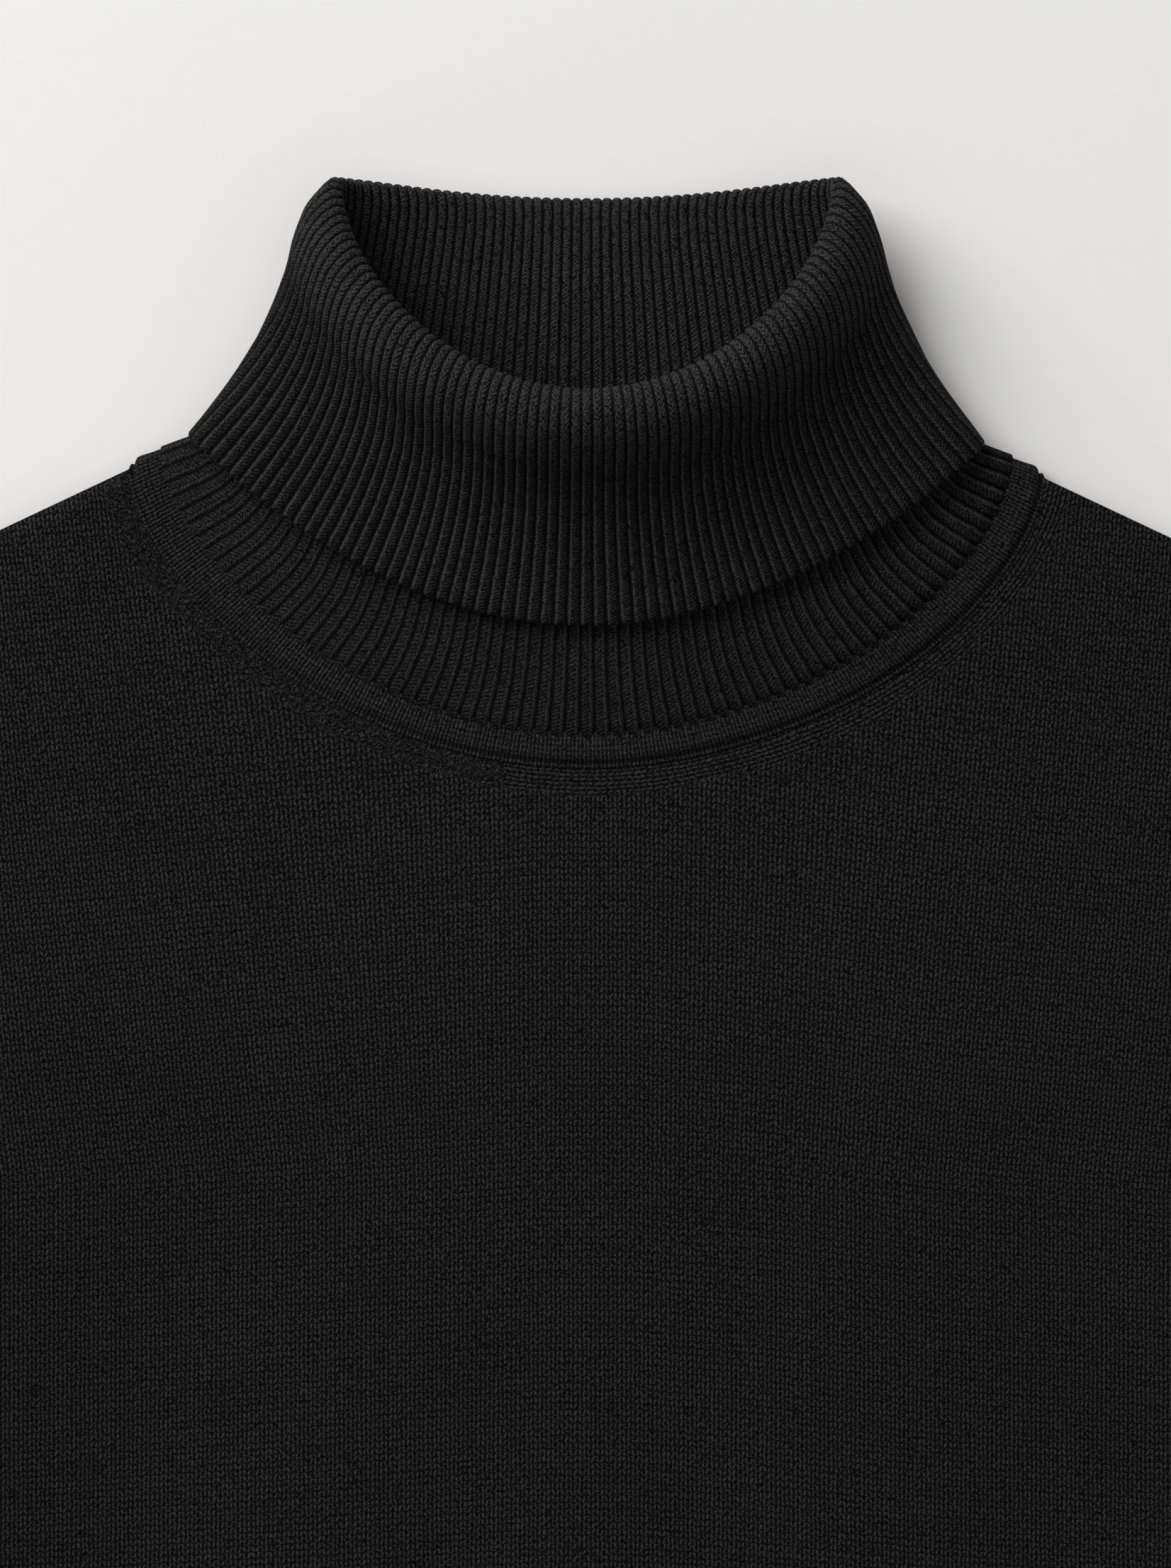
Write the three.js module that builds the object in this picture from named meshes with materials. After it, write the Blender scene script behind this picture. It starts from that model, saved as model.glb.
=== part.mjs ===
// A turtleneck sweater in black fine-gauge knit, laid flat on its back with its collar propped open.
// Millimetres, X across the garment, Y towards the collar, Z up off the surface it lies on.
// The pieces are shaped in the garment's own plan, whose Y is zero at the high point of the shoulders.
// Left and right are the wearer's: the front faces up, so the left sleeve is on the +X side.
import * as THREE from "three";

// The cloth
const WALL = 2.0;
const SEAM_GAP = 0.3;
const LAYER_GAP = 0.5;
const COLOUR = { body: 0x1b1b1c, rib: 0x1a1a1b, trim: 0x1e1e1f };
const ROUGHNESS = 0.92;

// The body, as half widths and as heights below the shoulder point
const NECK_FRONT_DROP = 70.8;
const SHOULDER_TIP = [215, -56];
const UNDERARM = [258, -262];
const ARMHOLE_PULLS = [[202, -246], [197, -130]];
const HEM_HALF_WIDTH = 230;
const HEM_DROP = 672;
const HEM_SAG = 3;
const SIDE_SEAM = [[HEM_HALF_WIDTH, -HEM_DROP], [235, -612], [246, -570], [252, -420], UNDERARM];
const BODY_PUFF = 2.2;
const PUFF_FADE = 70;
const PUFF_TOP = -NECK_FRONT_DROP - 6;
const FRAME_SHIFT = 306.3;

// The sleeves
const SLEEVE_LAYER_GAP = 1.0;
const SLEEVE_PUFF = 2.0;
const SLEEVE_TOP_PULLS = [[330, -113], [465, -235]];
const CUFF_OUTER_CORNER = [672, -495];
const CUFF_INNER_CORNER = [605.5, -548];
const CUFF_RIB_SHARE = 0.12;
const SLEEVE_EDGE_FADE = 0.25;
const SLEEVE_END_FADE = 0.2;

// The ribs: a count for each edge, and how far a rib's crest and groove lie from the middle line
const COLLAR_RIBS = 130;
const HEM_RIBS = 72;
const CUFF_RIBS = 28;
const RIB_RELIEF = 0.4;

// Sections of the collar, from its seam over the roll to its free edge, as the middle of the wall.
// side is the half width, bow bends the front arc from parabola (0) to ellipse (1), and edge
// rounds the turn from the front layer to the back one.
const COLLAR_COLUMNS = ["side", "bow", "edge", "frontY", "frontZ", "sideY", "sideZ", "backY", "backZ"];
const COLLAR_SECTIONS = {
  seam: [94.2, 0.65, 0.25, -62.5, 5.9, 1.2, 4.3, -20.3, 1.8],
  stripMiddle: [87.6, 0.5, 0.4, -51.0, 8.0, 4.6, 5.2, -9.0, 3.4],
  stripTop: [81.5, 0.4, 0.4, -37.5, 10.6, 11.8, 6.0, 4.5, 4.2],
  standLow: [74.0, 0.45, 0.45, -20.0, 14.8, 24.5, 6.6, 22.0, 4.3],
  standMiddle: [65.6, 0.6, 0.6, -7.0, 20.0, 39.5, 7.6, 39.0, 4.3],
  standHigh: [60.4, 0.68, 0.75, 3.0, 26.0, 51.0, 10.0, 49.0, 4.3],
  rollIn: [56.8, 0.72, 0.9, 11.0, 31.6, 59.0, 12.6, 55.2, 4.3],
  rollInner: [56.2, 0.72, 0.95, 12.3, 34.5, 62.8, 13.4, 57.0, 3.9],
  rollTop: [57.6, 0.72, 0.95, 11.2, 37.2, 64.6, 13.6, 57.6, 2.7],
  rollOuter: [60.4, 0.7, 0.9, 8.5, 38.3, 63.0, 13.2, 57.0, 1.5],
  rollOut: [62.4, 0.66, 0.8, 5.7, 37.0, 59.4, 12.4, 55.2, 1.1],
  foldHigh: [65.1, 0.6, 0.65, 1.2, 32.5, 51.8, 11.0, 48.5, 1.0],
  foldUpper: [67.4, 0.48, 0.5, -4.5, 27.8, 43.0, 9.4, 41.0, 1.0],
  foldMiddle: [71.3, 0.33, 0.4, -12.5, 23.0, 31.8, 8.0, 30.5, 1.0],
  foldLow: [78.8, 0.15, 0.35, -24.0, 18.5, 18.2, 6.8, 17.0, 1.0],
  freeEdge: [89.6, 0.0, 0.3, -38.4, 14.3, 4.2, 5.8, 1.5, 1.0],
};
const COLLAR_RING = 2 * COLLAR_RIBS;
const RING_SMOOTHING = 5;
const RIBS_OUT = [
  "seam", "stripTop", "standMiddle", "rollIn", "rollInner",
  "rollOuter", "rollOut", "foldUpper", "foldLow", "freeEdge",
];
const PLAIN_UNDER = [
  "foldMiddle", "foldHigh", "rollOuter", "rollTop", "rollIn", "standMiddle", "standLow",
];
const PLAIN_STEP = 4;
const FLOOR_RIB_FADE = [1.4, 2.4];

// The neck band that joins the collar to the body: its two edges as sections, and the rows of its
// half-round form, each with its share of the way from the outer edge and its height off the middle line.
const TRIM_EDGES = {
  outer: [103.3, 0.65, 0.25, -70.3, 5.0, -1.8, 3.7, -27.6, 1.1],
  inner: [96.8, 0.65, 0.25, -63.2, 5.6, -0.6, 3.8, -21.3, 1.7],
};
const TRIM_FORM = [[0, 0.7], [0.24, 2.0], [0.76, 2.0], [1, 0.7], [1, -0.6], [0, -1]];
const TRIM_STEP = 2;

// Soft troughs and ridges of the front: where each starts and ends, its half width and its height
const FOLD_COLUMNS = ["fromX", "fromY", "toX", "toY", "halfWidth", "height"];
const BODY_FOLDS = [
  [-70, -120, -122, -330, 26, -1.6],
  [-40, -160, -66, -420, 24, 1.1],
  [-22, -210, -34, -480, 17, -1.0],
  [2, -150, 4, -520, 19, 1.2],
  [30, -200, 34, -470, 18, -0.8],
  [96, -140, 128, -350, 26, -1.4],
  [150, -120, 214, -300, 24, 1.2],
  [-150, -110, -206, -310, 22, 1.3],
];
const SLEEVE_FOLDS = [
  [262, -238, 372, -196, 20, 1.6],
  [300, -306, 420, -262, 17, -0.9],
  [420, -402, 520, -330, 18, 1.1],
];

const smooth = (value) => THREE.MathUtils.smoothstep(value, 0, 1);
const lerp = THREE.MathUtils.lerp;
const named = (columns, values) => Object.fromEntries(columns.map((column, i) => [column, values[i]]));

// A closed wall, put together from rows of points that are joined two at a time.
class Shell {
  points = [];
  faces = [];

  row(points, places) {
    const first = this.points.length;
    this.points.push(...points);
    return points.map((_, i) => ({ index: first + i, at: places ? places[i] : i / (points.length - 1) }));
  }

  ring(points, places) {
    const first = this.points.length;
    this.points.push(...points);
    const row = points.map((_, i) => ({ index: first + i, at: places ? places[i] : i / points.length }));
    return [...row, { index: first, at: 1 }];
  }

  join(a, b) {
    let i = 0;
    let j = 0;
    while (i < a.length - 1 || j < b.length - 1) {
      const nextA = i < a.length - 1 ? a[i + 1].at : Infinity;
      const nextB = j < b.length - 1 ? b[j + 1].at : Infinity;
      if (nextA <= nextB) {
        this.faces.push(a[i].index, a[i + 1].index, b[j].index);
        i += 1;
      } else {
        this.faces.push(a[i].index, b[j + 1].index, b[j].index);
        j += 1;
      }
    }
  }

  // A ring-shaped wall: rows run along its outside and back along its inside.
  closeRound(rows) {
    rows.forEach((row, i) => this.join(row, rows[(i + 1) % rows.length]));
  }

  // A flat panel: the rows of its top and of its underside, both from the hem up, and the rims between.
  closePanel(top, under) {
    this.closeRound([...top, ...[...under].reverse()]);
    const side = (rows, end) => rows.map((row) => ({ index: row.at(end).index, at: row.along }));
    this.join(side(top, 0), side(under, 0));
    this.join(side(under, -1), side(top, -1));
  }

  geometry() {
    const geometry = new THREE.BufferGeometry();
    const numbers = this.points.flatMap((point) => point.toArray());
    geometry.setAttribute("position", new THREE.Float32BufferAttribute(numbers, 3));
    if (this.volume() < 0) this.turnInsideOut();
    geometry.setIndex(this.faces);
    geometry.computeVertexNormals();
    return geometry;
  }

  volume() {
    let sum = 0;
    for (let i = 0; i < this.faces.length; i += 3) {
      const [a, b, c] = this.faces.slice(i, i + 3).map((index) => this.points[index]);
      sum += a.dot(new THREE.Vector3().crossVectors(b, c)) / 6;
    }
    return sum;
  }

  turnInsideOut() {
    for (let i = 0; i < this.faces.length; i += 3) {
      [this.faces[i + 1], this.faces[i + 2]] = [this.faces[i + 2], this.faces[i + 1]];
    }
  }
}

// The height that the soft folds of a piece add at a point of the plan.
function foldHeight(folds, x, y) {
  let height = 0;
  for (const values of folds) {
    const fold = named(FOLD_COLUMNS, values);
    const along = new THREE.Vector2(fold.toX - fold.fromX, fold.toY - fold.fromY);
    const to = new THREE.Vector2(x - fold.fromX, y - fold.fromY);
    const share = THREE.MathUtils.clamp(to.dot(along) / along.lengthSq(), 0, 1);
    const away = to.sub(along.multiplyScalar(share)).length() / fold.halfWidth;
    height += fold.height * Math.sin(Math.PI * share) * Math.exp(-away * away);
  }
  return height;
}

const flatPoint = ([x, y]) => new THREE.Vector3(x, y, 0);
const bezier = (from, pulls, to) => new THREE.CubicBezierCurve3(...[from, ...pulls, to].map(flatPoint));

// The edges of a body panel, from the hem up on its right side
const sideSeam = new THREE.CatmullRomCurve3(SIDE_SEAM.map(flatPoint));
const armhole = bezier(UNDERARM, ARMHOLE_PULLS, SHOULDER_TIP);
const SEAM_SHARE = 0.64;
const ARMHOLE_STEPS = 6;
const armholeLine = armhole
  .getSpacedPoints(ARMHOLE_STEPS)
  .map((point) => new THREE.Vector2(point.x, point.y));

// The point at a share of the way along a line of evenly numbered points.
function alongLine(line, share) {
  const place = THREE.MathUtils.clamp(share, 0, 1) * (line.length - 1);
  const step = Math.min(Math.floor(place), line.length - 2);
  return line[step].clone().lerp(line[step + 1], place - step);
}

function panelSide(t) {
  if (t >= SEAM_SHARE) return alongLine(armholeLine, (t - SEAM_SHARE) / (1 - SEAM_SHARE));
  const point = sideSeam.getPointAt(t / SEAM_SHARE);
  return new THREE.Vector2(point.x, point.y);
}

// The upper edge of a panel: its neckline up to half of the way out, then the shoulder.
function panelTop(q, neckline) {
  const across = Math.abs(q);
  if (across <= 0.5) return alongLine(neckline, Math.sin(Math.PI * across));
  return neckline.at(-1).clone().lerp(new THREE.Vector2(...SHOULDER_TIP), 2 * across - 1);
}

// A point of a body panel: q from -1 to 1 across it, t from 0 at the hem to 1 at the shoulder.
function panelPoint(q, t, neckline) {
  const across = Math.abs(q);
  const hem = new THREE.Vector2(across * HEM_HALF_WIDTH, -HEM_DROP - HEM_SAG * (1 - q * q));
  const corner = new THREE.Vector2(HEM_HALF_WIDTH, -HEM_DROP);
  const middleLow = new THREE.Vector2(0, -HEM_DROP - HEM_SAG);
  const middleHigh = neckline[0].clone();
  const tip = new THREE.Vector2(...SHOULDER_TIP);
  const middle = middleLow.clone().lerp(middleHigh, t);
  const between = hem.lerp(panelTop(q, neckline), t).add(middle.lerp(panelSide(t), across));
  const corners = middleLow.lerp(corner, across).lerp(middleHigh.lerp(tip, across), t);
  const point = between.sub(corners);
  return new THREE.Vector2(Math.sign(q) * point.x, point.y);
}

// How far the front stands off the back: most in the middle of the body, nothing at its edges.
function bodyPuff(x, y) {
  const toSide = Math.min(Math.abs(x) / UNDERARM[0], 1);
  const belowNeck = smooth((PUFF_TOP - y) / PUFF_FADE);
  const aboveHem = smooth((y + HEM_DROP + HEM_SAG) / PUFF_FADE);
  const room = (1 - toSide ** 6) * belowNeck * aboveHem;
  return Math.max(0, room * (BODY_PUFF + foldHeight(BODY_FOLDS, x, y)));
}

const PANEL_COLUMNS = 24;
const NECK_COLUMNS = 72;
const ARMHOLE_ROWS = armholeLine
  .slice(0, -1)
  .map((_, i) => lerp(SEAM_SHARE, 1, i / ARMHOLE_STEPS));
const PANEL_ROWS = [0.14, 0.2, 0.32, 0.44, 0.55, ...ARMHOLE_ROWS];
const RIB_TOP = 0.1;

function panelRow(shell, columns, t, neckline, height) {
  const places = Array.from({ length: columns + 1 }, (_, i) => i / columns);
  const points = places.map((place, i) => {
    const flat = panelPoint(2 * place - 1, t, neckline);
    return new THREE.Vector3(flat.x, flat.y, height(flat.x, flat.y, i));
  });
  const row = shell.row(points, places);
  row.along = t;
  return row;
}

function bodyPanel({ neckline, low, puff, ribbed }) {
  const shell = new Shell();
  const under = (x, y) => low + puff(x, y);
  const over = (x, y) => under(x, y) + WALL;
  const ribs = (x, y, i) => over(x, y) + RIB_RELIEF * (i % 2 ? 1 : -1);
  const hem = ribbed
    ? [0, RIB_TOP].map((t) => panelRow(shell, 2 * HEM_RIBS, t, neckline, ribs))
    : [0, RIB_TOP].map((t) => panelRow(shell, PANEL_COLUMNS, t, neckline, over));
  const rows = (height) => [
    ...PANEL_ROWS.map((t) => panelRow(shell, PANEL_COLUMNS, t, neckline, height)),
    panelRow(shell, NECK_COLUMNS, 1, neckline, height),
  ];
  const top = [...hem, ...rows(over)];
  const bottom = [panelRow(shell, PANEL_COLUMNS, 0, neckline, under), ...rows(under)];
  shell.closePanel(top, bottom);
  return shell.geometry();
}

const FRONT_LOW = WALL + LAYER_GAP;

function frontGeometry() {
  return bodyPanel({ neckline: neckEdge(true), low: FRONT_LOW, puff: bodyPuff, ribbed: true });
}

function backGeometry() {
  return bodyPanel({ neckline: neckEdge(false), low: 0, puff: () => 0, ribbed: false });
}

// The sleeve: a flattened tube between the armhole and the cuff
const sleeveTop = bezier(SHOULDER_TIP, SLEEVE_TOP_PULLS, CUFF_OUTER_CORNER);
const ARMHOLE_GAP = 1.2 * SEAM_GAP;

const sleeveArmholeLine = armholeLine.map((point, i) => {
  const before = armholeLine[Math.max(i - 1, 0)];
  const after = armholeLine[Math.min(i + 1, ARMHOLE_STEPS)];
  const tangent = after.clone().sub(before).normalize();
  return new THREE.Vector2(point.x + tangent.y * ARMHOLE_GAP, point.y - tangent.x * ARMHOLE_GAP);
});
const sleeveArmhole = (r) => alongLine(sleeveArmholeLine, 1 - r);

// A point of the sleeve: r from 0 at its upper fold to 1 at its lower one, t from armhole to cuff.
function sleevePoint(r, t) {
  const topStart = sleeveArmhole(0);
  const lowStart = sleeveArmhole(1);
  const outer = new THREE.Vector2(...CUFF_OUTER_CORNER);
  const inner = new THREE.Vector2(...CUFF_INNER_CORNER);
  const onTop = sleeveTop.getPointAt(t);
  const gap = topStart.clone().sub(new THREE.Vector2(...SHOULDER_TIP));
  const upper = new THREE.Vector2(onTop.x, onTop.y).addScaledVector(gap, 1 - t);
  const lower = lowStart.clone().lerp(inner, t);
  const across = upper.lerp(lower, r);
  const along = sleeveArmhole(r).lerp(outer.clone().lerp(inner, r), t);
  const corners = topStart.lerp(lowStart, r).lerp(outer.lerp(inner, r), t);
  return across.add(along).sub(corners);
}

const SLEEVE_ROWS = [0, 0.07, 0.16, 0.28, 0.4, 0.53, 0.66, 0.78, 0.86];
const SLEEVE_TOP_STEPS = 10;
const SLEEVE_UNDER_STEPS = 5;
const SLEEVE_TURN_STEPS = 3;
const TOP_PLACES = 0.4;

// The height that a sleeve's top layer rises by, apart from its folds, at a point of it.
function sleevePuffRoom(r, t) {
  const fromEdges = smooth(r / SLEEVE_EDGE_FADE) * smooth((1 - r) / SLEEVE_EDGE_FADE);
  const fromEnds = smooth(t / SLEEVE_END_FADE) * smooth((1 - CUFF_RIB_SHARE - t) / SLEEVE_END_FADE);
  return fromEdges * fromEnds;
}

// One ring of the sleeve at a distance in from its outside: the top layer, a turn, the back layer, a turn.
function sleeveRing(shell, t, inset, topSteps, relief) {
  const outside = WALL + SLEEVE_LAYER_GAP / 2;
  const radius = outside - inset;
  const width = sleevePoint(0, t).distanceTo(sleevePoint(1, t));
  const turn = outside / width;
  const bulge = radius / width;
  const points = [];
  const places = [];
  const add = (r, z, place) => {
    const flat = sleevePoint(r, t);
    points.push(new THREE.Vector3(flat.x, flat.y, z));
    places.push(place);
  };
  for (let i = 0; i <= topSteps; i += 1) {
    const share = i / topSteps;
    const r = lerp(turn, 1 - turn, share);
    const flat = sleevePoint(r, t);
    const puff = sleevePuffRoom(r, t) * (SLEEVE_PUFF + foldHeight(SLEEVE_FOLDS, flat.x, flat.y));
    const crest = relief * (i % 2 ? 1 : -1) * (i > 0 && i < topSteps ? 1 : 0);
    add(r, outside + radius + crest + Math.max(0, puff), TOP_PLACES * share);
  }
  const addTurn = (edge, out, up, from) => {
    for (let i = 1; i < SLEEVE_TURN_STEPS; i += 1) {
      const share = i / SLEEVE_TURN_STEPS;
      const angle = share * Math.PI;
      const place = from + (0.5 - TOP_PLACES) * share;
      add(edge + out * bulge * Math.sin(angle), outside + up * radius * Math.cos(angle), place);
    }
  };
  addTurn(1 - turn, 1, 1, TOP_PLACES);
  for (let i = 0; i <= SLEEVE_UNDER_STEPS; i += 1) {
    const share = i / SLEEVE_UNDER_STEPS;
    add(lerp(1 - turn, turn, share), outside - radius, 0.5 + TOP_PLACES * share);
  }
  addTurn(turn, -1, -1, 0.5 + TOP_PLACES);
  return shell.ring(points, places);
}

function sleeveGeometry(side) {
  const shell = new Shell();
  const outer = SLEEVE_ROWS.map((t) => sleeveRing(shell, t, 0, SLEEVE_TOP_STEPS, 0));
  const cuff = [1 - CUFF_RIB_SHARE, 1].map((t) => sleeveRing(shell, t, 0, 2 * CUFF_RIBS, RIB_RELIEF));
  const inner = [...SLEEVE_ROWS, 1].map((t) => sleeveRing(shell, t, WALL, SLEEVE_TOP_STEPS / 2, 0));
  shell.closeRound([...outer, ...cuff, ...inner.reverse()]);
  shell.points.forEach((point) => {
    point.x *= side;
  });
  return shell.geometry();
}

// One ring round the neck, as equally spaced points from the middle of the front towards the right.
const RING_SAMPLES = 720;

function neckRing(section, count, smoothing) {
  const line = [];
  for (let i = 0; i <= RING_SAMPLES; i += 1) {
    const angle = (2 * Math.PI * i) / RING_SAMPLES;
    const toFront = Math.cos(angle);
    const away = Math.abs(toFront);
    const bow = toFront > 0 ? section.bow : 0;
    const [y, z] = toFront > 0 ? [section.frontY, section.frontZ] : [section.backY, section.backZ];
    const reach = bow * away + (1 - bow) * away * away;
    line.push(new THREE.Vector3(
      section.side * Math.sin(angle),
      lerp(section.sideY, y, reach),
      lerp(section.sideZ, z, away ** section.edge),
    ));
  }
  const lengths = [0];
  line.slice(1).forEach((point, i) => lengths.push(lengths[i] + point.distanceTo(line[i])));
  const total = lengths.at(-1);
  let ring = [];
  let at = 0;
  for (let i = 0; i < count; i += 1) {
    const wanted = (total * i) / count;
    while (lengths[at + 1] < wanted) at += 1;
    const share = (wanted - lengths[at]) / (lengths[at + 1] - lengths[at]);
    ring.push(line[at].clone().lerp(line[at + 1], share));
  }
  for (let pass = 0; pass < smoothing; pass += 1) {
    ring = ring.map((point, i) => {
      const before = ring[(i + count - 1) % count];
      const after = ring[(i + 1) % count];
      return point.clone().multiplyScalar(2).add(before).add(after).divideScalar(4);
    });
  }
  return ring;
}

// The collar's sections as smooth functions of the way along a rib
const sectionNames = Object.keys(COLLAR_SECTIONS);
const sectionPlaces = (() => {
  const sections = sectionNames.map((name) => named(COLLAR_COLUMNS, COLLAR_SECTIONS[name]));
  const places = [0];
  sections.slice(1).forEach((next, i) => {
    const last = sections[i];
    const front = Math.hypot(next.frontY - last.frontY, next.frontZ - last.frontZ);
    const side = Math.hypot(next.side - last.side, next.sideY - last.sideY, next.sideZ - last.sideZ);
    const back = Math.hypot(next.backY - last.backY, next.backZ - last.backZ);
    places.push(places[i] + (front + side + back) / 3);
  });
  return places;
})();
const COLLAR_LENGTH = sectionPlaces.at(-1);
const placeOf = (name) => sectionPlaces[sectionNames.indexOf(name)];

function sectionAt(place) {
  const clamped = THREE.MathUtils.clamp(place, 0, COLLAR_LENGTH);
  let k = sectionPlaces.findIndex((next) => next > clamped) - 1;
  if (k < 0) k = sectionNames.length - 2;
  const share = (clamped - sectionPlaces[k]) / (sectionPlaces[k + 1] - sectionPlaces[k]);
  const values = COLLAR_COLUMNS.map((_, column) => {
    const value = (i) => COLLAR_SECTIONS[sectionNames[i]][column];
    const slope = (i) => {
      const before = Math.max(i - 1, 0);
      const after = Math.min(i + 1, sectionNames.length - 1);
      return (value(after) - value(before)) / (sectionPlaces[after] - sectionPlaces[before]);
    };
    const span = sectionPlaces[k + 1] - sectionPlaces[k];
    const s2 = share * share;
    const s3 = s2 * share;
    return (2 * s3 - 3 * s2 + 1) * value(k) + (s3 - 2 * s2 + share) * span * slope(k)
      + (3 * s2 - 2 * s3) * value(k + 1) + (s3 - s2) * span * slope(k + 1);
  });
  return named(COLLAR_COLUMNS, values);
}

const ringAt = (place) => neckRing(sectionAt(place), COLLAR_RING, RING_SMOOTHING);
const SLOPE_STEP = 0.6;

// The middle line of the wall at one place, with the directions that face the neck on the stand.
function collarRing(place) {
  const middle = ringAt(place);
  const before = ringAt(Math.max(place - SLOPE_STEP, 0));
  const after = ringAt(Math.min(place + SLOPE_STEP, COLLAR_LENGTH));
  return middle.map((point, i) => {
    const last = middle[(i + COLLAR_RING - 1) % COLLAR_RING];
    const round = middle[(i + 1) % COLLAR_RING].clone().sub(last);
    const along = after[i].clone().sub(before[i]);
    return { point, normal: along.cross(round).normalize() };
  });
}

function collarRow(shell, place, face, step, ribbed) {
  const [fadeFrom, fadeTo] = FLOOR_RIB_FADE;
  const points = collarRing(place).filter((_, i) => i % step === 0).map(({ point, normal }, i) => {
    const clear = smooth((point.z - fadeFrom) / (fadeTo - fadeFrom));
    const crest = ribbed ? RIB_RELIEF * (i % 2 ? -1 : 1) * clear : 0;
    const moved = point.clone().addScaledVector(normal, face * (WALL / 2) + face * crest);
    moved.z = Math.max(moved.z, 0);
    return moved;
  });
  return shell.ring(points);
}

function collarGeometry() {
  const shell = new Shell();
  const inside = RIBS_OUT.map((name) => collarRow(shell, placeOf(name), 1, 1, true));
  const freeEdge = collarRow(shell, placeOf("freeEdge"), -1, PLAIN_STEP, false);
  const outside = PLAIN_UNDER.map((name) => collarRow(shell, placeOf(name), -1, PLAIN_STEP, false));
  const strip = ["stripTop", "seam"].map((name) => collarRow(shell, placeOf(name), -1, 1, true));
  shell.closeRound([...inside, freeEdge, ...outside, ...strip]);
  return shell.geometry();
}

const [trimOuterRing, trimInnerRing] = ["outer", "inner"].map((edge) =>
  neckRing(named(COLLAR_COLUMNS, TRIM_EDGES[edge]), COLLAR_RING, RING_SMOOTHING));

// The neck band's surface: a point between its edges, with the direction that faces out of the garment.
const trimSurface = trimOuterRing.map((outer, i) => {
  const inward = trimInnerRing[i].clone().sub(outer);
  const before = trimOuterRing[(i + COLLAR_RING - 1) % COLLAR_RING];
  const round = trimOuterRing[(i + 1) % COLLAR_RING].clone().sub(before);
  return { outer, inward, normal: round.cross(inward).normalize() };
});

function trimGeometry() {
  const shell = new Shell();
  const line = trimSurface.filter((_, i) => i % TRIM_STEP === 0);
  const rows = TRIM_FORM.map(([share, height]) => shell.ring(line.map(({ outer, inward, normal }) => {
    const point = outer.clone().addScaledVector(inward, share).addScaledVector(normal, height);
    point.z = Math.max(point.z, 0);
    return point;
  })));
  shell.closeRound(rows);
  return shell.geometry();
}

// How far each panel's edge is moved away: the band runs at a slant to the back's corners, so more there
const NECK_GAP = { front: 1.3 * SEAM_GAP, back: 2.6 * SEAM_GAP };

// The edge that a panel keeps beside the neck band, from the middle of the garment to its right side.
function neckEdge(isFront) {
  const gap = isFront ? NECK_GAP.front : NECK_GAP.back;
  const edge = trimSurface.map(({ outer, inward, normal }) => {
    const away = new THREE.Vector2(-inward.x, -inward.y).normalize();
    const wall = (WALL / 2) * Math.hypot(normal.x, normal.y);
    return new THREE.Vector2(outer.x, outer.y).addScaledVector(away, gap + wall);
  });
  const widest = edge.reduce((best, point, i) => (point.x > edge[best].x ? i : best), 0);
  const half = edge.slice(0, COLLAR_RING / 2 + 1);
  const line = isFront ? half.slice(0, widest + 1) : half.slice(widest).reverse();
  line[0].x = 0;
  return line;
}

function piece(name, geometry, color) {
  const material = new THREE.MeshStandardMaterial({ color, roughness: ROUGHNESS, metalness: 0 });
  const mesh = new THREE.Mesh(geometry, material);
  mesh.name = name;
  return mesh;
}

const sweater = new THREE.Group();
sweater.position.set(0, FRAME_SHIFT, 0);
sweater.add(
  piece("back", backGeometry(), COLOUR.body),
  piece("front", frontGeometry(), COLOUR.body),
  piece("sleeve_left", sleeveGeometry(1), COLOUR.body),
  piece("sleeve_right", sleeveGeometry(-1), COLOUR.body),
  piece("neck_trim", trimGeometry(), COLOUR.trim),
  piece("collar", collarGeometry(), COLOUR.rib),
);

export default sweater;
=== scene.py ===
import math

import bmesh
import bpy
import numpy as np
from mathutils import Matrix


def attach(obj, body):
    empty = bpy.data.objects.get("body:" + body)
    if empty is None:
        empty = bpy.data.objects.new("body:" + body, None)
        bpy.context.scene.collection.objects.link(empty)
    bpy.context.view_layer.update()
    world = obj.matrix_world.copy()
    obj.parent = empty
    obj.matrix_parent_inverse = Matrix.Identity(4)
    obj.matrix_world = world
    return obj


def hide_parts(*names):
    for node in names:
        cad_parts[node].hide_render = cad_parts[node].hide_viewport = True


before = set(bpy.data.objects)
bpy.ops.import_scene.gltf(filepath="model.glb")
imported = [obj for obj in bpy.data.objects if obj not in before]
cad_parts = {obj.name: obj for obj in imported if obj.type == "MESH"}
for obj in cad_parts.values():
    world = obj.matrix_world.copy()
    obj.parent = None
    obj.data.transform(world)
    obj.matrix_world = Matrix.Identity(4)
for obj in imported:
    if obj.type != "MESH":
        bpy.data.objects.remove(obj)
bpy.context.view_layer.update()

# A black turtleneck sweater, laid flat on its back with its collar propped open.
# Sizes are in millimetres of the garment's plan, whose Y is zero at the high point of the shoulders.
MM = 0.001
FRAME_SHIFT = 306.3

# The cloth
WALL = 2.0
LAYER_GAP = 0.5
RIB_RELIEF = 0.27
RIB_STEPS = 6

# The body
SHOULDER_TIP = (215.0, -56.0)
UNDERARM = (258.0, -262.0)
ARMHOLE = [SHOULDER_TIP, (197.0, -130.0), (202.0, -246.0), UNDERARM]
HEM_HALF_WIDTH = 230.0
HEM_DROP = 672.0
HEM_SAG = 3.0
SIDE_SEAM = [(230.0, -672.0), (235.0, -612.0), (246.0, -570.0), (252.0, -420.0), UNDERARM]
SEAM_SHARE = 0.64
RIB_TOP = 0.1
BODY_PUFF = 3.0
PUFF_FADE = 70.0
PUFF_TOP = -76.8

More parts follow.
